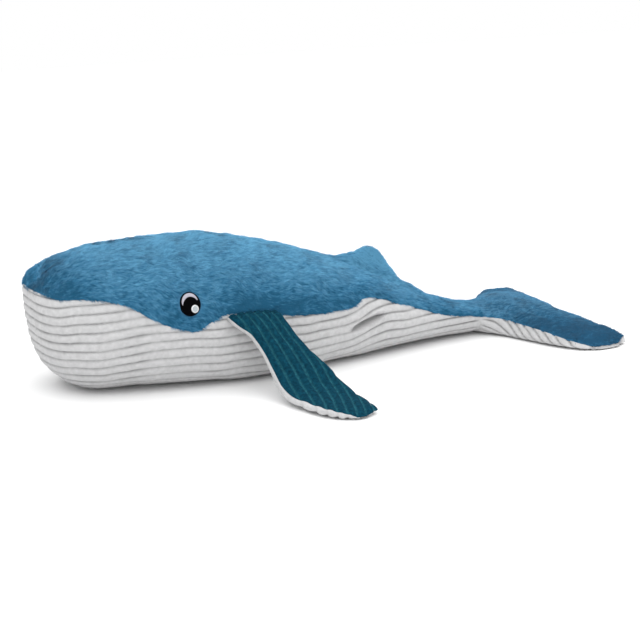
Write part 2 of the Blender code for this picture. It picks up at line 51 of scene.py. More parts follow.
# Sizes of the sewn body, in metres; the nose points to -X and the left side to -Y.
body = {
    "length": 0.857,
    "height": 0.196,
    "halfWidth": 0.108,
    "backShares": (
        (0, 0.74), (0.0035, 0.77), (0.013, 0.828), (0.035, 0.895), (0.07, 0.942), (0.12, 0.976),
        (0.21, 0.99), (0.295, 0.985), (0.39, 0.902), (0.485, 0.78), (0.57, 0.63), (0.64, 0.49),
        (0.71, 0.35), (0.78, 0.241), (0.865, 0.195),
    ),
    "bellyShares": (
        (0, 0.74), (0.0035, 0.46), (0.012, 0.28), (0.022, 0.19), (0.038, 0.115), (0.065, 0.042), (0.1, 0),
        (0.55, 0), (0.64, 0.012), (0.71, 0.015), (0.8, 0.012), (1, 0.012),
    ),
    "widthShares": (
        (0, 0), (0.0035, 0.34), (0.013, 0.52), (0.035, 0.67), (0.078, 0.80), (0.156, 0.91),
        (0.26, 1), (0.39, 0.98), (0.50, 0.86), (0.605, 0.68), (0.709, 0.50), (0.795, 0.38),
        (0.865, 0.35),
    ),
    "seamShares": (
        (0, 0.74), (0.01, 0.731), (0.03, 0.712), (0.055, 0.716), (0.087, 0.703), (0.125, 0.66),
        (0.163, 0.56), (0.195, 0.486), (0.234, 0.445), (0.26, 0.492), (0.284, 0.533), (0.33, 0.53),
        (0.38, 0.483), (0.43, 0.45), (0.52, 0.438), (0.552, 0.474), (0.567, 0.47), (0.62, 0.394),
        (0.67, 0.314), (0.706, 0.258), (0.742, 0.215), (0.779, 0.19), (0.806, 0.165), (0.865, 0.13),
    ),
    "levelShares": (
        (0, 0.6), (0.009, 0.69), (0.035, 0.58), (0.087, 0.515), (0.173, 0.453), (0.39, 0.445),
        (0.56, 0.46), (0.70, 0.5), (1, 0.5),
    ),
    "upperPowers": ((0, 2.2), (0.5, 2.1), (0.70, 2), (1, 2)),
    "lowerPowers": (
        (0, 2.2), (0.05, 2.4), (0.13, 2.6), (0.2, 3), (0.26, 3.6), (0.346, 5), (0.42, 4.8),
        (0.49, 3.3), (0.56, 2.9), (0.62, 2.7), (0.70, 2.2), (1, 2.2),
    ),
    "levelJoin": (0.15, 0.225),
    "noseTuck": 0.0048,
    "noseTuckSpan": (-0.35, -0.428),
    "coverEnd": 0.262,
    "swayBend": (0.150, 0.212),
    "liftBend": (0.264, 0.300),
    "floorGap": 0.0004,
}
noseX = -body["length"] / 2


def smoothCurve(knots, at):
    # A monotone cubic through the knots.
    knots = np.array(knots, float)
    x, y = knots[:, 0], knots[:, 1]
    step, rise = np.diff(x), np.diff(y) / np.diff(x)
    slope = np.concatenate([rise[:1], np.zeros(len(x) - 2), rise[-1:]])
    for i in range(1, len(x) - 1):
        if rise[i - 1] * rise[i] > 0:
            before, after = 2 * step[i] + step[i - 1], step[i] + 2 * step[i - 1]
            slope[i] = (before + after) / (before / rise[i - 1] + after / rise[i])
    at = np.clip(at, x[0], x[-1])
    i = np.clip(np.searchsorted(x, at, side="right") - 1, 0, len(x) - 2)
    t = (at - x[i]) / step[i]
    start = (1 + 2 * t) * (1 - t) ** 2 * y[i] + t * (1 - t) ** 2 * step[i] * slope[i]
    end = t * t * (3 - 2 * t) * y[i + 1] + t * t * (t - 1) * step[i] * slope[i + 1]
    return start + end


def alongBody(name, share):
    knots = [(math.sqrt(at), value) for at, value in body[name]]
    return smoothCurve(knots, np.sqrt(np.maximum(share, 0)))


def eased(low, high, value):
    t = np.clip((value - low) / (high - low), 0, 1)
    return t * t * (3 - 2 * t)


def hullSection(x):
    # The rounded section at a station: its top, bottom, widest level, seam and half width.
    share = (np.asarray(x, float) - noseX) / body["length"]
    top = alongBody("backShares", share) * body["height"]
    bottom = alongBody("bellyShares", share) * body["height"]
    level = bottom + (top - bottom) * alongBody("levelShares", share)
    seam = alongBody("seamShares", share) * body["height"]
    # The widest level comes up to the seam along the tail.
    level = level + (seam - level) * eased(*body["levelJoin"], x)
    return {
        "top": top, "bottom": bottom, "level": level, "seam": seam,
        "halfWidth": alongBody("widthShares", share) * body["halfWidth"],
        "upperPower": alongBody("upperPowers", share), "lowerPower": alongBody("lowerPowers", share),
    }


def evenStations(count, end):
    # Stations from the nose, spaced evenly along the outline rather than along X.
    share = np.linspace(0, 1, 3000) ** 2 * (end - noseX) / body["length"]
    x = noseX + share * body["length"]
    section = hullSection(x)
    steps = [np.hypot(np.diff(x), np.diff(section[name])) for name in ("top", "bottom", "halfWidth")]
    run = np.concatenate([[0], np.cumsum(np.max(steps, axis=0))])
    return np.interp(np.linspace(0, run[-1], count), run, x)


def sectionArc(section, x, upper, count):
    # Evenly spaced points from the left seam to the right one.
    if section["halfWidth"] < 1e-5:
        return np.tile((x, 0.0, section["seam"]), (count, 1))
    rise, depth = section["top"] - section["level"], section["level"] - section["bottom"]
    seamRise = min(max((section["seam"] - section["level"]) / rise, 0), 0.98)
    seamAngle = math.asin(seamRise ** (section["upperPower"] / 2))
    ends = (seamAngle, math.pi - seamAngle) if upper else (seamAngle, -math.pi - seamAngle)
    angle = np.linspace(*ends, 1201)
    cosine, sine = np.cos(angle), np.sin(angle)
    power = np.where(sine >= 0, section["upperPower"], section["lowerPower"])
    height = np.where(sine >= 0, rise, depth)
    y = -section["halfWidth"] * np.sign(cosine) * np.abs(cosine) ** (2 / power)
    z = section["level"] + height * np.sign(sine) * np.abs(sine) ** (2 / power)
    run = np.concatenate([[0], np.cumsum(np.hypot(np.diff(y), np.diff(z)))])
    places = np.linspace(0, run[-1], count)
    return np.column_stack([np.full(count, x), np.interp(places, run, y), np.interp(places, run, z)])


def gridNormals(points, inside):
    along = np.gradient(points, axis=0)
    across = np.gradient(points, axis=1)
    normals = np.cross(along, across)
    size = np.linalg.norm(normals, axis=2, keepdims=True)
    normals = normals / np.maximum(size, 1e-12)
    if ((points - np.array(inside)) * normals).sum() < 0:
        normals = -normals
    return normals


noiseTables = {}


def softNoise(points, size, seed):
    # Smooth value noise, the same on every run.
    if seed not in noiseTables:
        noiseTables[seed] = np.random.default_rng(seed).uniform(-1, 1, (32, 32, 32))
    table = noiseTables[seed]
    place = np.asarray(points) / size + seed * 3.7
    base = np.floor(place).astype(int)
    t = place - base
    t = t * t * (3 - 2 * t)
    total = 0
    for corner in range(8):
        offset = np.array([(corner >> axis) & 1 for axis in range(3)])
        index = (base + offset) % 32
        weight = np.prod(np.where(offset == 1, t, 1 - t), axis=-1)
        total = total + weight * table[index[..., 0], index[..., 1], index[..., 2]]
    return total


def addObject(name, data):
    made = bpy.data.objects.new(name, data)
    scene.collection.objects.link(made)
    return made


def faceOutward(mesh, centre):
    # Turns the whole skin round if its faces look inwards.
    count = len(mesh.polygons)
    middles, normals = np.empty(count * 3), np.empty(count * 3)
    mesh.polygons.foreach_get("center", middles)
    mesh.polygons.foreach_get("normal", normals)
    away = middles.reshape(-1, 3) - np.array(centre)
    if (away * normals.reshape(-1, 3)).sum() < 0:
        mesh.flip_normals()


def gridPiece(name, points, material, centre, marks=()):
    # A skin from a grid of points round a centre, with its own UV map and per-point marks.
    rows, columns = points.shape[:2]
    index = np.arange(rows * columns).reshape(rows, columns)
    quads = np.stack([index[:-1, :-1], index[:-1, 1:], index[1:, 1:], index[1:, :-1]], axis=-1)
    mesh = bpy.data.meshes.new(name)
    mesh.from_pydata(points.reshape(-1, 3).tolist(), [], quads.reshape(-1, 4).tolist())
    uv = mesh.uv_layers.new(name="OFBake")
    margin = 0.005
    places = [np.linspace(margin, 1 - margin, count) for count in (rows, columns)]
    u, v = np.meshgrid(*places, indexing="ij")
    flat = np.column_stack([u.reshape(-1), v.reshape(-1)])
    loops = np.empty(len(mesh.loops), np.int32)
    mesh.loops.foreach_get("vertex_index", loops)
    uv.data.foreach_set("uv", flat[loops].astype(np.float32).reshape(-1))
    for markName, values in dict(marks).items():
        mark = mesh.attributes.new(markName, "FLOAT", "POINT")
        mark.data.foreach_set("value", np.asarray(values, np.float32).reshape(-1))
    shape = bmesh.new()
    shape.from_mesh(mesh)
    bmesh.ops.remove_doubles(shape, verts=shape.verts, dist=1e-6)
    shape.to_mesh(mesh)
    shape.free()
    mesh.shade_smooth()
    mesh.materials.append(material)
    faceOutward(mesh, centre)
    return addObject(name, mesh)


def addNode(tree, kind, inputs=(), **settings):
    # An input takes a value, or a link from another node's socket.
    node = tree.nodes.new(kind)
    for name, value in settings.items():
        setattr(node, name, value)
    for name, value in dict(inputs).items():
        if isinstance(value, bpy.types.NodeSocket):
            tree.links.new(value, node.inputs[name])
        else:
            node.inputs[name].default_value = value
    return node


def addSockets(tree, direction, kind, *names):
    for name in names:
        tree.interface.new_socket(name, in_out=direction, socket_type="NodeSocket" + kind)


def newMaterial(name, finish):
    material = bpy.data.materials.new(name)
    material.use_nodes = True
    shader = material.node_tree.nodes["Principled BSDF"]
    for socket, value in finish.items():
        shader.inputs[socket].default_value = value
    return material, material.node_tree, shader


def colourRamp(tree, mask, stops):
    ramp = addNode(tree, "ShaderNodeValToRGB", {"Fac": mask})
    for element, (place, colour) in zip(ramp.color_ramp.elements, stops):
        element.position, element.color = place, (*colour, 1)
    return ramp.outputs["Color"]


def addBump(tree, shader, height, distance, strength):
    bump = addNode(tree, "ShaderNodeBump", {"Distance": distance, "Strength": strength, "Height": height})
    tree.links.new(bump.outputs["Normal"], shader.inputs["Normal"])


def pileGroup():
    # Soft mottling of a brushed pile: a shade mask and a height for its bump.
    group = bpy.data.node_groups.new("pileMottle", "ShaderNodeTree")
    addSockets(group, "INPUT", "Float", "clumpScale", "hairScale")
    addSockets(group, "OUTPUT", "Float", "shade", "height")
    inlet = addNode(group, "NodeGroupInput").outputs
    where = addNode(group, "ShaderNodeTexCoord").outputs["Object"]
    clump, hair = (
        addNode(group, "ShaderNodeTexNoise", {"Vector": where, "Scale": inlet[scale], "Detail": detail})
        for scale, detail in (("clumpScale", 4), ("hairScale", 6))
    )
    parts = {"Factor": 0.45, 2: clump.outputs["Fac"], 3: hair.outputs["Fac"]}
    blend = addNode(group, "ShaderNodeMix", parts)
    addNode(group, "NodeGroupOutput", {"shade": blend.outputs[0], "height": hair.outputs["Fac"]})
    return group


pileMottle = pileGroup()


def plushMaterial(name, dark, light, clumpScale, hairScale, bumpDistance, sheen=0.0, groove=None):
    # Brushed plush; groove is what its colour is multiplied by between two ribs.
    material, tree, shader = newMaterial(name, {
        "Roughness": 0.95, "Specular IOR Level": 0.06, "Sheen Weight": sheen, "Sheen Roughness": 0.5,
    })
    scales = {"clumpScale": clumpScale, "hairScale": hairScale}
    mottle = addNode(tree, "ShaderNodeGroup", scales, node_tree=pileMottle)
    colour = colourRamp(tree, mottle.outputs["shade"], ((0.32, dark), (0.68, light)))
    if groove:
        mark = addNode(tree, "ShaderNodeAttribute", attribute_name="groove").outputs["Fac"]
        parts = {0: mark, 6: colour, 7: (*groove, 1)}
        colour = addNode(tree, "ShaderNodeMix", parts, data_type="RGBA", blend_type="MULTIPLY").outputs[2]
    tree.links.new(colour, shader.inputs["Base Color"])
    addBump(tree, shader, mottle.outputs["height"], bumpDistance, 0.6)
    return material


def pileMaterials(kind, *colours):
    # The shades of the blades, from the deepest to the palest.
    finish = {"Roughness": 0.95, "Specular IOR Level": 0.2, "Sheen Weight": 0.05}
    return [
        newMaterial(kind + shade, {"Base Color": (*colour, 1), **finish})[0]
        for shade, colour in zip(("Deep", "Dark", "Middle", "Light"), colours)
    ]


bluePlush = plushMaterial(
    "bluePlush", dark=(0.030, 0.125, 0.230), light=(0.060, 0.200, 0.350),
    clumpScale=110, hairScale=900, bumpDistance=0.0012, sheen=0.05,
)
# The flukes' plush is darker than the back's, for its finer pile and for painted shade.
finePlush = plushMaterial(
    "fineBluePlush", dark=(0.016, 0.092, 0.180), light=(0.036, 0.150, 0.268),
    clumpScale=130, hairScale=1100, bumpDistance=0.0008, sheen=0.1,
)
# Painted shade darkens the grooves between the white ribs.
whiteRibs = plushMaterial(
    "whiteRibs", dark=(0.47, 0.47, 0.475), light=(0.61, 0.61, 0.615),
    clumpScale=160, hairScale=1400, bumpDistance=0.0006, groove=(0.48, 0.48, 0.48),
)
tealRibs = plushMaterial(
    "tealRibs", dark=(0.0006, 0.0155, 0.031), light=(0.005, 0.068, 0.110),
    clumpScale=240, hairScale=1200, bumpDistance=0.0008, groove=(7.0, 2.7, 2.15),
)
print("materials ready")

# The blue back, with the small fin sewn on top
back = {
    "rows": 300, "columns": 132,
    "tuftSize": 0.012, "tuftHeight": 0.0016, "clumpSize": 0.030, "clumpHeight": 0.0012,
    "swirl": 0.006, "swirlSize": 0.05, "lift": 0.0006, "edgeTuck": 0.004,
    "finFront": 0.012, "finRear": 0.196, "finHeight": 0.043, "finHalfWidth": 0.019,
    "finRise": (
        (0, 0), (0.146, 0.20), (0.291, 0.54), (0.408, 0.93), (0.452, 1), (0.51, 0.96), (0.612, 0.56),
        (0.728, 0.17), (0.886, 0.08), (1, 0),
    ),
    # Painted light and shade on the pile: plus paints it paler, minus darker.
    "paintedShading": {  # how much paler (+) or darker (-) the pile is in each place
        "base": 0.45, "top": 2.15, "nose": -1.5, "rearFlank": -0.35, "fin": 2.2, "tail": -1.2,
        "lowFlankShade": -0.85, "root": -1.1,
    },
    "paintedShadingSpans": {  # over what stretch each of these comes in
        "nose": (-0.33, -0.41), "rearFlank": (-0.02, 0.08), "fin": (0.2, 0.8), "tail": (0.10, 0.19),
        "lowFlankFront": (-0.215, -0.165), "lowFlankRear": (0.07, 0.13), "lowFlankRise": (0.008, 0.046),
    },
    "rootShadowX": -0.137, "rootShadowHalfLength": 0.048, "rootShadowHeight": 0.016,
}


def tuckNose(points):
    # The sewn edges draw the tip of the nose in.
    points[..., 0] += body["noseTuck"] * eased(*body["noseTuckSpan"], points[..., 0])


def tuftHeight(points, fade=1):
    # The lying pile parts into tufts that run towards the tail.
    swirl = np.stack([softNoise(points, back["swirlSize"], seed) for seed in (3, 5, 7)], axis=-1)
    stretched = (points + back["swirl"] * swirl) * np.array((0.55, 1, 1))
    tuft = softNoise(stretched, back["tuftSize"], 11) * back["tuftHeight"]
    fine = softNoise(stretched, back["tuftSize"] * 0.45, 13) * back["tuftHeight"] * 0.55
    clump = softNoise(points, back["clumpSize"], 17) * back["clumpHeight"]
    return (tuft + fine + clump) * fade


def finRise(points):
    share = (points[..., 0] - back["finFront"]) / (back["finRear"] - back["finFront"])
    rise = smoothCurve(back["finRise"], np.clip(share, 0, 1)) * back["finHeight"]
    width = back["finHalfWidth"] * (0.75 + 0.35 * np.clip(share, 0, 1))
    across = np.clip(np.abs(points[..., 1]) / width, 0, 1)
    return rise * (1 - eased(0.1, 1, across)) ** 0.9


def tuckedEdges(points, normals, depth):
    # The seam's two sides turn in under the skin, so that no edge hangs open.
    near = [points[:, 0] - normals[:, 0] * depth * share for share in (1, 0.5)]
    far = [points[:, -1] - normals[:, -1] * depth * share for share in (0.5, 1)]
    return np.concatenate([np.stack(near, axis=1), points, np.stack(far, axis=1)], axis=1)


def overEdges(values):
    # Marks for the points that tuckedEdges adds.
    return np.concatenate([values[:, :1]] * 2 + [values] + [values[:, -1:]] * 2, axis=1)


def bodyGrid(piece, upper, inside):
    # The plain skin above or below the seams, in rows from the nose to the neck of the flukes.
    stations = evenStations(piece["rows"], body["coverEnd"])
    sections = [{name: float(value) for name, value in hullSection(x).items()} for x in stations]
    arcs = [sectionArc(section, x, upper, piece["columns"]) for section, x in zip(sections, stations)]
    points = np.array(arcs)
    normals = gridNormals(points, inside)
    normals[0] = (-1, 0, 0)
    return points, normals


def makeBack():
    base, normals = bodyGrid(back, True, (0, 0, 0))
    lift = back["lift"] + tuftHeight(base)
    points = base + normals * lift[..., None]
    points[..., 2] += finRise(base) * np.clip(normals[..., 2], 0, 1)
    points[0] = points[0].mean(axis=0)
    return points, normals


def paintedBackShading(points, normals):
    # Painted light and shade: the top is painted paler than the flanks and the nose, as light from above
    # leaves it, and the fin paler and the tail darker too.
    x, shade, spans = points[..., 0], back["paintedShading"], back["paintedShadingSpans"]
    topness = np.clip(normals[..., 2], 0, 1) ** 1.5
    paintedShading = shade["base"] + shade["top"] * topness + shade["nose"] * eased(*spans["nose"], x)
    paintedShading += shade["rearFlank"] * eased(*spans["rearFlank"], x) * (1 - topness)
    paintedShading += shade["fin"] * eased(*spans["fin"], finRise(points) / back["finHeight"])
    paintedShading += shade["tail"] * eased(*spans["tail"], x)
    # Painted shade darkens the lower flank behind the eye.
    aboveSeam = points[..., 2] - hullSection(x)["seam"]
    flank = eased(*spans["lowFlankFront"], x) * (1 - eased(*spans["lowFlankRear"], x))
    paintedShading += shade["lowFlankShade"] * flank * (1 - eased(*spans["lowFlankRise"], aboveSeam))
    # A painted shadow darkens the pile above a flipper's root.
    rootShadowPlace = (x - back["rootShadowX"]) / back["rootShadowHalfLength"]
    paintedShading += shade["root"] * np.exp(-rootShadowPlace ** 4 - (aboveSeam / back["rootShadowHeight"]) ** 2)
    return paintedShading


backPoints, backNormals = makeBack()
tuckNose(backPoints)
backGrowth = np.ones((back["rows"], back["columns"] + 4))
backGrowth[:, :2] = backGrowth[:, -2:] = 0
backMarks = {"growth": backGrowth, "paintedShading": overEdges(paintedBackShading(backPoints, backNormals))}
backEdged = tuckedEdges(backPoints, backNormals, back["edgeTuck"])
backSkin = gridPiece("backPlush", backEdged, bluePlush, (0, 0, 0.05), backMarks)
print("back ready")

# The white ribbed belly
belly = {
    "rows": 340, "columns": 236,
    "ribPitch": 0.0124, "ribDepth": 0.0036, "ribOffset": -0.0006, "wander": 0.0021, "pillow": 0.0005,
    "wanderSizes": (0.07, 0.025), "pillowSizes": (0.016, 0.05), "grooveDrift": 0.028,
    "pinchDepth": 0.0010, "pinchSpan": (0.250, 0.261),
    "wrapWidth": 0.84, "wrapStart": 0.060, "turnUnder": (0.004, 0.020),
    "ribRaise": (
        (-0.4285, 0.004), (-0.415, 0.003), (-0.385, 0.0064), (-0.348, 0.0078), (-0.299, 0.011),
        (-0.239, 0.0132), (-0.195, 0.0105), (-0.152, 0.0130), (-0.02, 0.0115), (0.02, 0.0160),
        (0.06, 0.0230), (0.09, 0.0249), (0.3, 0.0249),
    ),
    "foldX": 0.047, "foldZ": 0.060, "foldHalfLength": 0.030, "foldHalfWidth": 0.0036,
    "foldDepth": 0.010, "foldTilt": 0.0060, "foldLip": 0.0012, "puff": 0.0022,
    "bunch": -0.16, "bunchLength": 0.045, "bunchHeight": 0.030,
}


def ribPhase(points):
    # Ribs run level round the jaw and along the flanks, and turn in under the belly.
    section = hullSection(points[..., 0])
    inner = section["halfWidth"] * belly["wrapWidth"] - np.abs(points[..., 1])
    front = points[..., 0] - noseX - belly["wrapStart"]
    depth = np.minimum(np.maximum(inner, 0), np.maximum(front, 0))
    low = 1 - eased(*belly["turnUnder"], points[..., 2])
    wide, fine = belly["wanderSizes"]
    wander = (softNoise(points, wide, 23) + softNoise(points, fine, 29) * 0.4) * belly["wander"]
    # They bunch up round the fold in the flank.
    raised = smoothCurve(belly["ribRaise"], points[..., 0])
    ahead, over = points[..., 0] - belly["foldX"], points[..., 2] - belly["foldZ"]
    near = np.exp(-(ahead / belly["bunchLength"]) ** 2 - (over / belly["bunchHeight"]) ** 2)
    bunch = near * ahead * belly["bunch"]
    return (points[..., 2] - depth * low + belly["ribOffset"] - raised + wander + bunch) / belly["ribPitch"]


def foldDent(points):
    # A slack place in the left flank has sunk into a lens-shaped fold, which tilts up to the rear.
    along = (points[..., 0] - belly["foldX"]) / belly["foldHalfLength"]
    level = belly["foldZ"] + along * belly["foldTilt"]
    width = belly["foldHalfWidth"] * np.sqrt(np.maximum(1 - along ** 2, 0)) + belly["foldLip"]
    across = (points[..., 2] - level) / width
    left = points[..., 1] < 0
    inside = np.exp(-across ** 2 * 0.9) * eased(1.25, 0.6, np.abs(along)) * left
    puff = np.exp(-((np.abs(across) - 2.0) / 0.9) ** 2) * eased(1.5, 0.5, np.abs(along)) * left
    return inside, puff


def ribProfile(phase, fullness=2.6):
    # Round crests between narrow grooves.
    across = np.abs(2 * (phase - np.floor(phase)) - 1)
    return np.sqrt(np.maximum(1 - across ** fullness, 0)), eased(0.62, 1, across)


def makeBelly():
    base, normals = bodyGrid(belly, False, (0, 0, 0.1))
    crest, groove = ribProfile(ribPhase(base))
    fine, wide = belly["pillowSizes"]
    pillow = (softNoise(base, fine, 41) + softNoise(base, wide, 43) * 1.6) * belly["pillow"]
    inside, puff = foldDent(base)
    # Near the seam in front of the flukes the ribs are pinched flat.
    pinch = 1 - eased(*belly["pinchSpan"], base[..., 0])
    lift = belly["ribDepth"] * (crest - 0.85) * pinch - belly["pinchDepth"] * (1 - pinch) + pillow
    lift = lift - belly["foldDepth"] * inside + belly["puff"] * puff
    # The painted shade in a groove is deeper in some stretches and fainter in others.
    grooveShadeStrength = np.clip(0.80 + softNoise(base, belly["grooveDrift"], 53) * 0.55, 0.35, 1)
    groove = groove * pinch * grooveShadeStrength
    # Painted shade also darkens the inside of the fold.
    groove = np.maximum(groove, inside * 0.55)
    points = base + normals * lift[..., None]
    points[..., 2] = np.maximum(points[..., 2], body["floorGap"])
    points[0] = points[0].mean(axis=0)
    return points, normals, groove


bellyPoints, bellyNormals, bellyGroove = makeBelly()
tuckNose(bellyPoints)
bellyEdged = tuckedEdges(bellyPoints, bellyNormals, back["edgeTuck"])
bellyMarks = {"groove": overEdges(bellyGroove)}
bellySkin = gridPiece("bellyRibs", bellyEdged, whiteRibs, (0, 0, 0.08), bellyMarks)
print("belly ready")

# The flukes
flukes = {
    "hingeX": 0.262242, "halfSpan": 0.176, "crest": 0.021, "notch": 0.012,
    "neck": (0.258, 0.310), "hump": (0.262, 0.328), "thinning": 0.62, "rearEdge": 0.001,
    "rows": 120, "columns": 190, "sink": 0.72, "bulge": 0.020, "skew": 0.12, "underGap": 0.0006,
    "ribPitch": 0.0138, "ribDepth": 0.0048, "ribSlant": 1.05, "wander": 0.0014, "grooveShade": 0.7,
    "tuftFade": 0.55, "edgeTuck": 0.002, "frontOverlap": 0.004, "rearOverrun": 0.002,
    "seamDrop": 0.004, "wanderSize": 0.05, "lobeShadeSpan": (0.26, 0.31), "neckLightSpan": (0.25, 0.29),
    "pinchSpan": (0.258, 0.274),
    "spanShares": (
        (0, 0.23), (0.1, 0.245), (0.2, 0.30), (0.32, 0.49), (0.44, 0.69), (0.56, 0.85),
        (0.68, 0.955), (0.8, 1), (0.92, 0.99), (1, 0.925),
    ),
    "crestShares": ((0, 1), (0.3, 1), (0.5, 0.98), (0.7, 0.82), (0.88, 0.38), (1, 0.10)),
    "edgeShares": ((0, 1), (0.25, 0.96), (0.45, 0.84), (0.65, 0.73), (0.85, 0.48), (0.95, 0.28), (1, 0.12)),
}


def flukeCut(x, across):
    # One cut across: the sewn edge's level, the top above it and the underside below it.
    hull = hullSection(x)
    share = max((x - flukes["hingeX"]) / (body["length"] / 2 - flukes["hingeX"]), 0)
    late = eased(*flukes["neck"], x)
    spread = float(smoothCurve(flukes["spanShares"], share)) * flukes["halfSpan"]
    y = max(float(hull["halfWidth"]), spread) * across
    out = np.abs(y) / flukes["halfSpan"]
    neckLevel = float(hullSection(body["coverEnd"])["seam"])
    sink = 1 - flukes["sink"] * max(share - 0.15, 0) ** 1.2 * (1 - np.abs(across) ** 3)
    fall = smoothCurve(flukes["edgeShares"], out) * sink
    edge = flukes["rearEdge"] + (neckLevel - flukes["seamDrop"]) * fall
    level = float(hull["level"]) * (1 - late) + edge * late
    crest = flukes["crest"] * float(smoothCurve(flukes["crestShares"], share))
    crest = crest * (1 - flukes["thinning"] * late * np.minimum(out * 1.1, 1))
    # The hump of the flukes swells behind the neck.
    swell = eased(*flukes["hump"], x)
    rise = float(hull["top"] - hull["level"]) * (1 - swell) + crest * swell
    above = rise * (1 - np.abs(across) ** 2) ** (0.5 + 0.4 * late)
    floorDepth = level - flukes["underGap"]
    depth = float(hull["level"] - hull["bottom"]) * (1 - late) + late * floorDepth
    depth = np.minimum(depth, floorDepth)
    inner = np.maximum(1 - np.abs(y) / (0.3 * flukes["halfSpan"]), 0) ** 2
    notch = flukes["notch"] * max(share - 0.7, 0) / 0.3 * inner
    # The flukes lie a little askew: the left lobe to the front, the right one to the rear.
    askew = flukes["skew"] * y * (1 + 0.7 * (y > 0)) * math.sin(math.pi * min(share, 1)) ** 0.8
    return np.column_stack([x - notch + askew, y, level]), above, depth, late


def makeFlukes():
    front = body["coverEnd"] - flukes["frontOverlap"]
    stations = np.linspace(front, body["length"] / 2 + flukes["rearOverrun"], flukes["rows"])
    across = np.sin(np.linspace(-math.pi / 2, math.pi / 2, flukes["columns"]))
    turn = np.linspace(0, math.pi, flukes["columns"])
    tops, unders = [], []
    for x in stations:
        middle, above, _, late = flukeCut(x, across)
        tops.append(middle + above[:, None] * (0, 0, 1))
        # The underside bulges out below its seam and lies flat beneath.
        power = 2.2 + 2.8 * late
        reach = -np.sign(np.cos(turn)) * np.abs(np.cos(turn)) ** (2 / power)
        middle, _, depth, late = flukeCut(x, reach)
        bulge = flukes["bulge"] * late * np.sin(turn) ** 0.8 * np.sign(reach) * np.abs(reach) ** 2
        drop = depth * np.sin(turn) ** (2 / power)
        unders.append(middle + np.column_stack([np.zeros_like(bulge), bulge, -drop]))
    return np.array(tops), np.array(unders)


def lastTwice(values):
    return np.concatenate([values, values[-1:]], axis=0)


def flukeCover(name, points, normals, other, material, centre, marks):
    # The trailing edge rolls over to meet the other cover.
    rolled = np.concatenate([points, points[-1:] * 0.5 + other[-1:] * 0.5], axis=0)
    edged = tuckedEdges(rolled, lastTwice(normals), flukes["edgeTuck"])
    return gridPiece(name, edged, material, centre, marks)


flukeTop, flukeUnder = makeFlukes()
topNormals = gridNormals(flukeTop, (0.35, 0, -0.2))
flukeTop = flukeTop + topNormals * (back["lift"] + tuftHeight(flukeTop, flukes["tuftFade"]))[..., None]
flukeGrowth = np.ones((flukes["rows"] + 1, flukes["columns"] + 4))
flukeGrowth[:, :3] = flukeGrowth[:, -3:] = flukeGrowth[-1:] = 0
# Painted shade darkens the lobes towards their tips, the left one more; painted light makes the neck paler.
flukeOut = np.abs(flukeTop[..., 1]) / flukes["halfSpan"] * eased(*flukes["lobeShadeSpan"], flukeTop[..., 0])
paintedFlukeShading = 1.8 - (1.8 - 0.5 * np.sign(flukeTop[..., 1])) * eased(0.1, 0.7, flukeOut)
paintedFlukeShading += 0.3 * (1 - eased(*flukes["neckLightSpan"], flukeTop[..., 0]))
flukeMarks = {"growth": flukeGrowth, "paintedShading": lastTwice(overEdges(paintedFlukeShading))}
flukeSkin = flukeCover(
    "flukePlush", flukeTop, topNormals, flukeUnder, finePlush, (0.35, 0, -0.05), flukeMarks
)

underNormals = gridNormals(flukeUnder, (0.35, 0, 0.2))
flukePhase = np.abs(flukeUnder[..., 1]) + flukes["ribSlant"] * flukeUnder[..., 2]
flukeWander = softNoise(flukeUnder, flukes["wanderSize"], 31) * flukes["wander"]
flukePhase = (flukePhase + flukeWander) / flukes["ribPitch"]
crest, groove = ribProfile(flukePhase)
pinch = eased(*flukes["pinchSpan"], flukeUnder[..., 0])
flukeLift = flukes["ribDepth"] * (crest - 0.8) * pinch - belly["pinchDepth"] * (1 - pinch)
flukeUnder = flukeUnder + underNormals * flukeLift[..., None]
flukeUnder[..., 2] = np.maximum(flukeUnder[..., 2], body["floorGap"])
# Painted shade darkens the grooves of the underside, except in front where the ribs are pinched flat.
underMarks = {"groove": lastTwice(overEdges(groove * pinch * flukes["grooveShade"]))}
flukeUnderSkin = flukeCover(
    "flukeRibs", flukeUnder, underNormals, flukeTop, whiteRibs, (0.35, 0, 0.1), underMarks
)
print("flukes ready")

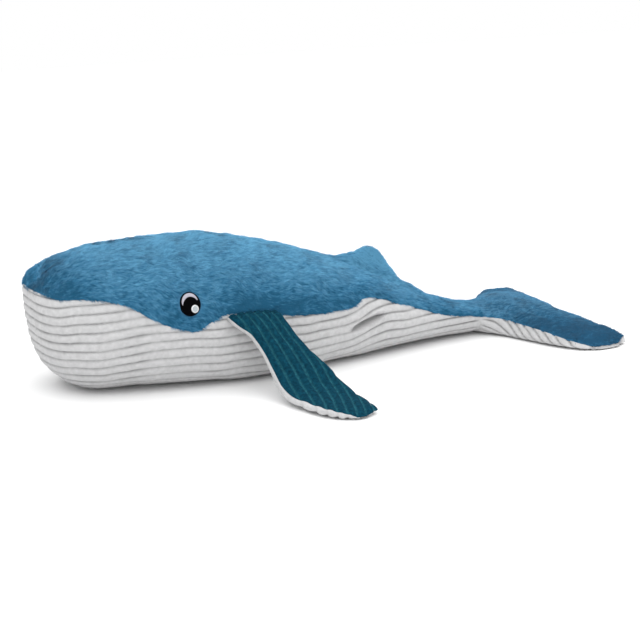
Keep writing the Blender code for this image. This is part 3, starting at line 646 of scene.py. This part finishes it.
# The flippers
flipper = {
    "frontX": -0.177399, "axisY": 0.116136, "axisZ": 0.09604, "reach": 0.196, "chord": 0.078,
    "halfThickness": 0.009, "twist": 0.020, "sectionPower": 2.3, "rows": 150, "columns": 110,
    "rootTuck": (0.022, -0.004), "tipStart": 0.90, "middle": (-0.1, 0.2, 0.05), "seamInset": 0.003,
    "groovePitch": 0.0132, "grooveStart": 0.0090, "grooveDepth": 0.0042,
    "wander": 0.08, "wanderSize": 0.05, "pillow": 0.0004, "pillowSize": 0.014,
    "seamAngle": 14, "seamTipAngle": 32, "seamRipple": 2.4,
    "grain": (
        (0, -0.002), (0.03, 0.001), (0.09, 0.006), (0.16, 0.012), (0.25, 0.0155), (0.33, 0.0175),
        (0.43, 0.018), (0.56, 0.018), (0.70, 0.015), (0.86, 0.007), (1, -0.002),
    ),
    "leadShares": (
        (0, -0.07), (0.09, 0.18), (0.15, 0.29), (0.23, 0.35), (0.43, 0.36), (0.56, 0.41), (0.68, 0.49),
        (0.83, 0.62), (0.93, 0.79), (1, 1.08),
    ),
    "trailShares": (
        (0, 0.95), (0.10, 1.03), (0.20, 1.13), (0.30, 1.23), (0.40, 1.32), (0.505, 1.39),
        (0.606, 1.46), (0.73, 1.55), (0.83, 1.60), (0.93, 1.57), (1, 1.26),
    ),
    "dropShares": (
        (0, 0), (0.09, 0.20), (0.15, 0.37), (0.23, 0.56), (0.33, 0.76), (0.43, 0.91), (0.56, 0.985),
        (0.68, 1), (1, 1),
    ),
    "liftShares": (
        (0, 0), (0.1, 0.1), (0.2, 0.55), (0.3, 0.85), (0.4, 1), (0.5, 0.8), (0.6, 0.5), (0.73, 0.15),
        (0.85, 0), (1, 0),
    ),
    "thicknessShares": ((0, 1), (0.3, 1.05), (0.6, 0.95), (0.85, 0.8), (0.96, 0.6), (1, 0.4)),
}


def flipperShare(name, share):
    return float(smoothCurve(flipper[name], share))


def flipperPath(share):
    thickness = flipperShare("thicknessShares", share) * flipper["halfThickness"]
    hung = flipper["axisZ"] - body["floorGap"] - flipper["halfThickness"]
    level = body["floorGap"] + thickness + hung * (1 - flipperShare("dropShares", share))
    return np.array((flipper["axisY"] + share * flipper["reach"], level))


def flipperPoint(place, turn, side):
    # One ring of the section, from the leading edge (0) over the top to the trailing edge (pi).
    share = max(place, 0)
    ahead = flipperPath(min(share + 0.02, 1)) - flipperPath(max(share - 0.02, 0))
    out, down = ahead / np.linalg.norm(ahead)
    start = flipperPath(share)
    if place < 0:  # the root is tucked into the body's seam
        start = start + place * np.array(flipper["rootTuck"])
    pastTip = max((share - flipper["tipStart"]) / (1 - flipper["tipStart"]), 0)
    tip = math.sqrt(max(1 - pastTip ** 2.4, 0.012))
    thickness = flipperShare("thicknessShares", share) * flipper["halfThickness"] * tip
    lead = flipperShare("leadShares", share) * flipper["chord"]
    trail = flipperShare("trailShares", share) * flipper["chord"]
    cosine, sine = np.cos(turn), np.sin(turn)
    across = -np.sign(cosine) * np.abs(cosine) ** (2 / flipper["sectionPower"])
    chordShare = (across + 1) / 2
    lift = flipperShare("liftShares", share) * flipper["twist"] * chordShare
    thick = thickness * (0.95 + 0.25 * (1 - chordShare) - 0.25 * chordShare)
    height = thick * np.sign(sine) * np.abs(sine) ** (2 / flipper["sectionPower"])
    x = flipper["frontX"] + lead + (trail - lead) * chordShare
    y = start[0] - down * lift - down * height
    z = start[1] + out * lift + out * height
    return np.column_stack([x, side * y, z]), across


def grainPhase(x, place):
    # The ribs run straight in the cloth, while the flipper's outline sweeps back across them.
    swept = x - flipper["frontX"] - smoothCurve(flipper["grain"], np.clip(place, 0, 1))
    return (swept - flipper["grooveStart"]) / flipper["groovePitch"]


def seamTurn(place):
    # Where the front seam runs; every rib pushes it out a little.
    share = max(place, 0)
    front = flipper["frontX"] + flipperShare("leadShares", share) * flipper["chord"]
    ripple = flipper["seamRipple"] * math.cos(2 * math.pi * float(grainPhase(front, place)))
    seam = flipper["seamAngle"] + (flipper["seamTipAngle"] - flipper["seamAngle"]) * share + ripple
    return math.radians(seam)


def makeFlipper(side, name):
    places = np.concatenate([np.linspace(-1, 0, 8)[:-1], np.linspace(0, 1, flipper["rows"])])
    made = []
    x, y, z = flipper["middle"]
    for label, end, columns, material, height in (
        ("TealRibs", math.pi, flipper["columns"], tealRibs, -0.1),
        ("WhiteRibs", -math.pi, flipper["columns"] + 30, whiteRibs, 0.3),
    ):
        rings = [flipperPoint(place, np.linspace(seamTurn(place), end, columns), side) for place in places]
        grid, shares = (np.array(part) for part in zip(*rings))
        normals = gridNormals(grid, (x, side * y, z))
        if ((grid - grid.mean(axis=1, keepdims=True)) * normals).sum() < 0:
            normals = -normals
        wander = softNoise(grid, flipper["wanderSize"], 37) * flipper["wander"]
        phase = grainPhase(grid[..., 0], places[:, None]) + wander
        crest, groove = ribProfile(phase, 2.0)
        fade = (0.6 + 0.4 * eased(0.0, 0.08, 1 - np.abs(shares))) * eased(0, 0.04, 1 - places)[:, None]
        if label == "WhiteRibs":  # the rim in front is drawn tight by its seam
            fade = fade * (0.22 + 0.78 * eased(0.04, 0.30, np.linspace(0, 1, columns)))
        pillow = softNoise(grid, flipper["pillowSize"], 47) * flipper["pillow"]
        points = grid + normals * ((flipper["grooveDepth"] * (crest - 0.9)) * fade + pillow)[..., None]
        points[..., 2] = np.maximum(points[..., 2], body["floorGap"])
        # Both covers turn in at the seam and close on the tip's middle.
        closing = points[-1:] * 0.25 + grid[-1].mean(axis=0) * 0.75
        points = np.concatenate([points, closing], axis=0)
        # On the white underside the groove mark is painted shade in the grooves; on the teal top it draws
        # pale lines.
        marks = np.concatenate([groove * fade, groove[-1:] * 0], axis=0)
        inward = points[:, :1] * 0.86 + points[:, 6:7] * 0.14
        inward = inward - lastTwice(normals)[:, :1] * flipper["seamInset"]
        points = np.concatenate([inward, points], axis=1)
        marks = np.concatenate([marks[:, :1], marks], axis=1)
        centre = (x, side * y, height)
        made.append(gridPiece(f"{name}Flipper{label}", points, material, centre, {"groove": marks}))
    return made


flipperPieces = {name: makeFlipper(side, name) for side, name in ((-1, "left"), (1, "right"))}
print("flippers ready")

# The embroidered eyes
eye = {
    "x": -0.2344, "z": 0.1235, "width": 0.0300, "height": 0.0314, "lift": 0.0026, "dome": (0.0002, 0.0014),
    "crescentWidth": 0.165, "crescentReach": (0.69, 0.07), "crescentTurn": (22, 160),
    "crescentDome": 0.0022,
    "glintMiddle": (0.33, -0.41), "glintRadius": 0.37, "glintSqueeze": 0.93, "glintDome": 0.0024,
    "centre": (-0.23, 0, 0.12), "bareReach": 0.53, "flankStart": 0.07,
}


def flankPoint(x, z, side):
    section = hullSection(x)
    above = z >= section["level"]
    power = np.where(above, section["upperPower"], section["lowerPower"])
    height = np.where(above, section["top"] - section["level"], section["level"] - section["bottom"])
    share = np.minimum(np.abs(z - section["level"]) / height, 1)
    y = side * section["halfWidth"] * (1 - share ** power) ** (1 / power)
    return np.stack([x, y, z], axis=-1)


def flankSkin(across, up, side, lift):
    x = eye["x"] + across * eye["width"] / 2
    z = eye["z"] + up * eye["height"] / 2
    step = 1e-4
    here = flankPoint(x, z, side)
    normal = np.cross(flankPoint(x + step, z, side) - here, flankPoint(x, z + step, side) - here) * -side
    normal = normal / np.linalg.norm(normal, axis=-1, keepdims=True)
    if (normal[..., 1] * side).sum() < 0:
        normal = -normal
    return here + normal * np.asarray(lift)[..., None]


def eyeDisc(name, side, middle, radius, low, high, material, squeeze=1.0):
    ring, turn = np.meshgrid(np.linspace(0, 1, 14), np.linspace(0, 2 * math.pi, 65), indexing="ij")
    across = middle[0] + radius * ring * np.cos(turn)
    up = middle[1] + radius * squeeze * ring * np.sin(turn)
    dome = low + (high - low) * (1 - ring ** 6) ** 0.5
    points = flankSkin(across, up, side, dome)
    return gridPiece(name, points, material, eye["centre"], {"ring": ring})


def eyeCrescent(name, side, low, high, material):
    along, over = np.meshgrid(np.linspace(0, 1, 41), np.linspace(-1, 1, 13), indexing="ij")
    angle = np.radians(eye["crescentTurn"][0] + eye["crescentTurn"][1] * along)
    width = eye["crescentWidth"] * np.sin(math.pi * np.clip(along, 0.015, 0.985)) ** 0.6
    reach = eye["crescentReach"][0] + eye["crescentReach"][1] * along + over * width
    dome = low + (high - low) * np.sqrt(np.maximum(1 - over ** 4, 0))
    points = flankSkin(reach * np.cos(angle), reach * np.sin(angle), side, dome)
    return gridPiece(name, points, material, eye["centre"])


def threadMaterial(name, colour, gloss, middle=None):
    # Satin stitches laid side by side.
    material, tree, shader = newMaterial(name, {
        "Base Color": (*colour, 1), "Roughness": 0.6, "Specular IOR Level": gloss,
    })
    where = addNode(tree, "ShaderNodeTexCoord").outputs["Object"]
    stitches = {"Vector": where, "Scale": 900, "Distortion": 1.5}
    wave = addNode(tree, "ShaderNodeTexWave", stitches, bands_direction="X")
    addBump(tree, shader, wave.outputs["Fac"], 0.0003, 0.5)
    if middle:
        # The middle of the disc is stitched in a greyer thread.
        ring = addNode(tree, "ShaderNodeAttribute", attribute_name="ring")
        edge = colourRamp(tree, ring.outputs["Fac"], ((0.60, middle), (0.72, colour)))
        tree.links.new(edge, shader.inputs["Base Color"])
    return material


blackThread = threadMaterial("blackThread", (0.0012, 0.0010, 0.0016), gloss=0.02)
lilacThread = threadMaterial("lilacThread", (0.49, 0.47, 0.54), gloss=0.12)
whiteThread = threadMaterial("whiteThread", (0.76, 0.77, 0.78), gloss=0.12, middle=(0.46, 0.50, 0.52))


def makeEye(side, name):
    lift, (low, high) = eye["lift"], eye["dome"]
    return (
        eyeDisc(f"{name}EyePatch", side, (0, 0), 1.0, low, lift + high, blackThread),
        eyeCrescent(f"{name}EyeCrescent", side, lift, lift + eye["crescentDome"], lilacThread),
        eyeDisc(
            f"{name}EyeGlint", side, eye["glintMiddle"], eye["glintRadius"], lift, lift + eye["glintDome"],
            whiteThread, eye["glintSqueeze"],
        ),
    )


eyePieces = {name: makeEye(side, name) for side, name in ((-1, "left"), (1, "right"))}
print("eyes ready")

# Loose pile
pile = {"density": 900000.0, "length": 0.0062, "width": 0.00085, "lean": 3.2, "seed": 4}
flukePileSizes = {"density": 1000000.0, "length": 0.0042, "width": 0.0008}
# The shades carry both the pile's random mottling and the painted light and shade marked on the skin; the
# flukes' shades are darker, for their finer pile and for painted shade.
pileShades = pileMaterials(
    "pile", (0.016, 0.120, 0.228), (0.047, 0.202, 0.358), (0.085, 0.285, 0.465), (0.122, 0.370, 0.570)
)
flukeShades = pileMaterials(
    "flukePile", (0.010, 0.082, 0.168), (0.026, 0.134, 0.250), (0.062, 0.210, 0.355), (0.085, 0.265, 0.435)
)


def pileTree(shades):
    # Short flat blades, scattered over a skin and combed towards the tail.
    tree = bpy.data.node_groups.new("combedPile", "GeometryNodeTree")
    addSockets(tree, "INPUT", "Geometry", "skin")
    addSockets(tree, "INPUT", "Float", "density", "length", "width", "lean")
    addSockets(tree, "INPUT", "Int", "seed")
    addSockets(tree, "OUTPUT", "Geometry", "pile")
    inlet = addNode(tree, "NodeGroupInput").outputs

    def mathOf(operation, first, second):
        return addNode(tree, "ShaderNodeMath", {0: first, 1: second}, operation=operation).outputs[0]

    def vectorMath(operation, first, second, output=0):
        parts = {0: first, 1: second}
        return addNode(tree, "ShaderNodeVectorMath", parts, operation=operation).outputs[output]

    def scaled(vector, factor):
        parts = {0: vector, "Scale": factor}
        return addNode(tree, "ShaderNodeVectorMath", parts, operation="SCALE").outputs[0]

    def noiseAt(place, scale, detail, output):
        parts = {"Vector": place, "Scale": scale, "Detail": detail}
        return addNode(tree, "ShaderNodeTexNoise", parts).outputs[output]

    def markOf(name, kind="FLOAT"):
        return addNode(tree, "GeometryNodeInputNamedAttribute", {"Name": name}, data_type=kind).outputs[0]

    def randomOf(low, high):
        return addNode(tree, "FunctionNodeRandomValue", {2: low, 3: high}, data_type="FLOAT").outputs[1]

    # The pile parts here and there, where fewer blades grow.
    place = addNode(tree, "GeometryNodeInputPosition").outputs[0]
    stretched = vectorMath("MULTIPLY", place, (0.45, 1, 1))
    thin = addNode(tree, "ShaderNodeMapRange", {
        "Value": noiseAt(stretched, 170, 2, "Fac"),
        "From Min": 0.30, "From Max": 0.38, "To Min": 0.25, "To Max": 1,
    })
    dense = mathOf("MULTIPLY", mathOf("MULTIPLY", thin.outputs[0], markOf("growth")), inlet["density"])
    scatter = addNode(tree, "GeometryNodeDistributePointsOnFaces", {
        "Mesh": inlet["skin"], "Density": dense, "Seed": inlet["seed"],
    })
    normal = scatter.outputs["Normal"]

    # Combing: towards the tail and downwards, stirred by a slow noise.
    slow, quick = (
        scaled(vectorMath("SUBTRACT", noiseAt(place, scale, detail, "Color"), (0.5, 0.5, 0.5)), strength)
        for scale, detail, strength in ((26, 2, 3.0), (120, 1, 2.0))
    )
    flow = vectorMath("ADD", vectorMath("ADD", slow, (0.9, 0, -0.60)), quick)
    inward = vectorMath("DOT_PRODUCT", flow, normal, "Value")
    along = vectorMath("NORMALIZE", vectorMath("SUBTRACT", flow, scaled(normal, inward)), (0, 0, 0))
    spreads = {0: (-0.35, -0.35, -0.35), 1: (0.35, 0.35, 0.35)}
    jitter = addNode(tree, "FunctionNodeRandomValue", spreads, data_type="FLOAT_VECTOR").outputs[0]
    upright = vectorMath("ADD", normal, vectorMath("ADD", scaled(along, inlet["lean"]), jitter))
    # A blade never grows back into the skin.
    depth = vectorMath("DOT_PRODUCT", upright, normal, "Value")
    raiseBy = mathOf("MAXIMUM", mathOf("SUBTRACT", 0.75, depth), 0)
    direction = vectorMath("ADD", upright, scaled(normal, raiseBy))
    turn = addNode(tree, "FunctionNodeAlignRotationToVector", {"Vector": direction}, axis="X")
    roll = addNode(tree, "FunctionNodeAlignRotationToVector", {
        "Rotation": turn.outputs["Rotation"], "Vector": normal,
    }, axis="Z", pivot_axis="X")

    # The plain blade is a triangle, 1.5 long and 1.73 wide, which stands on its foot.
    blade = addNode(tree, "GeometryNodeMeshCircle", {"Vertices": 3, "Radius": 1}, fill_type="NGON")
    ahead = addNode(tree, "GeometryNodeTransform", {
        "Geometry": blade.outputs["Mesh"], "Translation": (0.5, 0, 0),
    })
    length = mathOf("MULTIPLY", mathOf("MULTIPLY", inlet["length"], randomOf(0.6, 1.25)), 0.667)
    width = mathOf("MULTIPLY", inlet["width"], 0.577)
    measure = addNode(tree, "ShaderNodeCombineXYZ", {0: length, 1: width, 2: 1})
    plant = addNode(tree, "GeometryNodeInstanceOnPoints", {
        "Points": scatter.outputs["Points"], "Instance": ahead.outputs["Geometry"],
        "Rotation": roll.outputs["Rotation"], "Scale": measure.outputs[0],
    })

    # The painted light and shade marked on the skin sets the shade; neighbouring blades drift together, so
    # the pile looks clumped.
    clumps, flecks = (
        mathOf("MULTIPLY", mathOf("SUBTRACT", noiseAt(stretched, scale, detail, "Fac"), 0.5), strength)
        for scale, detail, strength in ((95, 3, 2.0), (270, 1, 4.2))
    )
    drift = mathOf("ADD", mathOf("ADD", clumps, flecks), markOf("paintedShading"))
    step = mathOf("FLOOR", mathOf("ADD", randomOf(-0.2, 1.2), drift), 0)
    shade = mathOf("MINIMUM", mathOf("MAXIMUM", step, 0), 3)
    # A blade is shaded mostly like the skin under it, which keeps the pile soft.
    soft = vectorMath("ADD", scaled(normal, 2.2), direction)
    blades = plant.outputs["Instances"]
    for name, kind, value in (("shade", "FLOAT", shade), ("softNormal", "FLOAT_VECTOR", soft)):
        parts = {"Geometry": blades, "Name": name, "Value": value}
        store = addNode(tree, "GeometryNodeStoreNamedAttribute", parts, data_type=kind, domain="INSTANCE")
        blades = store.outputs["Geometry"]
    real = addNode(tree, "GeometryNodeRealizeInstances", {"Geometry": blades})
    facing = addNode(tree, "GeometryNodeSetMeshNormal", {
        "Mesh": real.outputs["Geometry"], "Custom Normal": markOf("softNormal", "FLOAT_VECTOR"),
    }, mode="FREE", domain="POINT")
    blades = facing.outputs[0]
    for number, material in enumerate(shades):
        chosen = mathOf("GREATER_THAN", markOf("shade"), number - 0.5)
        parts = {"Geometry": blades, "Selection": chosen, "Material": material}
        blades = addNode(tree, "GeometryNodeSetMaterial", parts).outputs["Geometry"]
    addNode(tree, "NodeGroupOutput", {"pile": blades})
    return tree


def growPile(name, skin, shades, bare=(), **sizes):
    combedPile = pileTree(shades)
    carrier = addObject(name + "Carrier", skin.data.copy())
    modifier = carrier.modifiers.new("pile", "NODES")
    modifier.node_group = combedPile
    items = combedPile.interface.items_tree
    sockets = {item.name: item.identifier for item in items if item.in_out == "INPUT"}
    for key, value in {**pile, **sizes}.items():
        modifier[sockets[key]] = value
    bpy.context.view_layer.update()
    graph = bpy.context.evaluated_depsgraph_get()
    mesh = bpy.data.meshes.new_from_object(carrier.evaluated_get(graph))
    mesh.name = name
    bpy.data.objects.remove(carrier, do_unlink=True)
    if bare:
        trimPile(mesh, bare)
    print(name, len(mesh.polygons), "faces")
    return addObject(name, mesh)


def trimPile(mesh, bare):
    # No blade grows over an embroidered eye.
    count = len(mesh.polygons)
    corners = np.empty(count * 3, np.int32)
    mesh.polygons.foreach_get("vertices", corners)
    places = np.empty(len(mesh.vertices) * 3)
    mesh.vertices.foreach_get("co", places)
    triangles = places.reshape(-1, 3)[corners.reshape(-1, 3)]
    covers = np.zeros(count, bool)
    for x, z, halfWidth, halfHeight in bare:
        reach = ((triangles[..., 0] - x) / halfWidth) ** 2 + ((triangles[..., 2] - z) / halfHeight) ** 2
        covers |= (reach < 1).any(axis=1) & (np.abs(triangles[:, 0, 1]) > eye["flankStart"])
    shape = bmesh.new()
    shape.from_mesh(mesh)
    shape.faces.ensure_lookup_table()
    bmesh.ops.delete(shape, geom=[shape.faces[i] for i in np.nonzero(covers)[0]], context="FACES")
    shape.to_mesh(mesh)
    shape.free()


eyeReach = [eye[size] * eye["bareReach"] for size in ("width", "height")]
eyeBare = ((eye["x"], eye["z"], *eyeReach),)
backPile = growPile("backPile", backSkin, pileShades, eyeBare)
flukePile = growPile("flukePile", flukeSkin, flukeShades, **flukePileSizes)
print("pile ready")

# What carries each piece
for piece in (backSkin, backPile, bellySkin):
    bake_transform(piece)
for piece in (flukeSkin, flukePile, flukeUnderSkin):
    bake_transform(piece)
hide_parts("back_cover", "dorsal_fin", "tail_top_cover", "body_filling", "tail_filling")
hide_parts("belly_cover", "tail_underside_cover")
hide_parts("fluke_top_cover", "fluke_filling")
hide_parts("fluke_underside_cover")
for side, name in ((-1, "left"), (1, "right")):
    teal, white = flipperPieces[name]
    for piece in (teal, white):
        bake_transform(piece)
    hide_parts(f"{name}_flipper_top", f"{name}_flipper_filling")
    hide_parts(f"{name}_flipper_underside")
    eyeNodes = ("patch", "crescent", "glint")
    eyeSlots = ("black_embroidery", "lilac_embroidery", "white_embroidery")
    for piece, node, slot in zip(eyePieces[name], eyeNodes, eyeSlots):
        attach(piece, "body")
        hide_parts(f"{name}_eye_{node}")

# Floor, light and camera
studio = {
    "azimuth": -27.0, "elevation": 14.5, "distance": 2.9, "target": (0.02, 0.015, 0.07), "lens": 112.5,
    "shift": -18 / 640, "worldStrength": 0.72, "floorReach": 3.0, "floorGrey": 0.93,
    "keySun": {"place": (0.1, 0.05, 2.0), "softness": 100, "strength": 2.1},
    "frontSun": {"place": (-0.9, -2.0, 0.9), "softness": 110, "strength": 0.60},
}
floorMesh = bpy.data.meshes.new("floor")
reach = studio["floorReach"]
floorCorners = [(-reach, -reach, 0), (reach, -reach, 0), (reach, reach, 0), (-reach, reach, 0)]
floorMesh.from_pydata(floorCorners, [], [(0, 1, 2, 3)])
floor = addObject("floor", floorMesh)
floorMesh.materials.append(newMaterial("paleFloor", {
    "Base Color": (*[studio["floorGrey"]] * 3, 1), "Roughness": 0.9, "Specular IOR Level": 0.0,
})[0])

world = bpy.data.worlds.new("studio")
scene.world = world
world.use_nodes = True
sky = world.node_tree
sky.nodes.clear()
# The background is plain white to look at, and lights the toy more softly than that.
rays = addNode(sky, "ShaderNodeLightPath").outputs
seen = rays["Is Camera Ray"]
for ray in ("Is Glossy Ray", "Is Transmission Ray"):
    seen = addNode(sky, "ShaderNodeMath", {0: seen, 1: rays[ray]}, operation="MAXIMUM").outputs[0]
room, white = (
    addNode(sky, "ShaderNodeBackground", {"Color": (1, 1, 1, 1), "Strength": strength}).outputs[0]
    for strength in (studio["worldStrength"], 1)
)
mixer = addNode(sky, "ShaderNodeMixShader", {0: seen, 1: room, 2: white})
addNode(sky, "ShaderNodeOutputWorld", {"Surface": mixer.outputs[0]})


def aim(made, place, direction):
    made.location = place
    made.rotation_mode = "QUATERNION"
    made.rotation_quaternion = direction.to_track_quat("-Z", "Y")


def softSun(name):
    sun = studio[name]
    light = bpy.data.lights.new(name, "SUN")
    light.angle = math.radians(sun["softness"])
    light.energy = sun["strength"]
    aim(addObject(name, light), sun["place"], -Vector(sun["place"]))


softSun("keySun")
softSun("frontSun")

camera = addObject("photoCamera", bpy.data.cameras.new("photoCamera"))
scene.camera = camera
angle, rise = math.radians(studio["azimuth"]), math.radians(studio["elevation"])
backward = Vector((math.sin(angle) * math.cos(rise), -math.cos(angle) * math.cos(rise), math.sin(rise)))
aim(camera, Vector(studio["target"]) + backward * studio["distance"], -backward)
camera.data.lens = studio["lens"]
camera.data.sensor_width = 36
camera.data.shift_y = studio["shift"]
camera.data.clip_start, camera.data.clip_end = 0.05, 60
scene.view_settings.view_transform = "Standard"
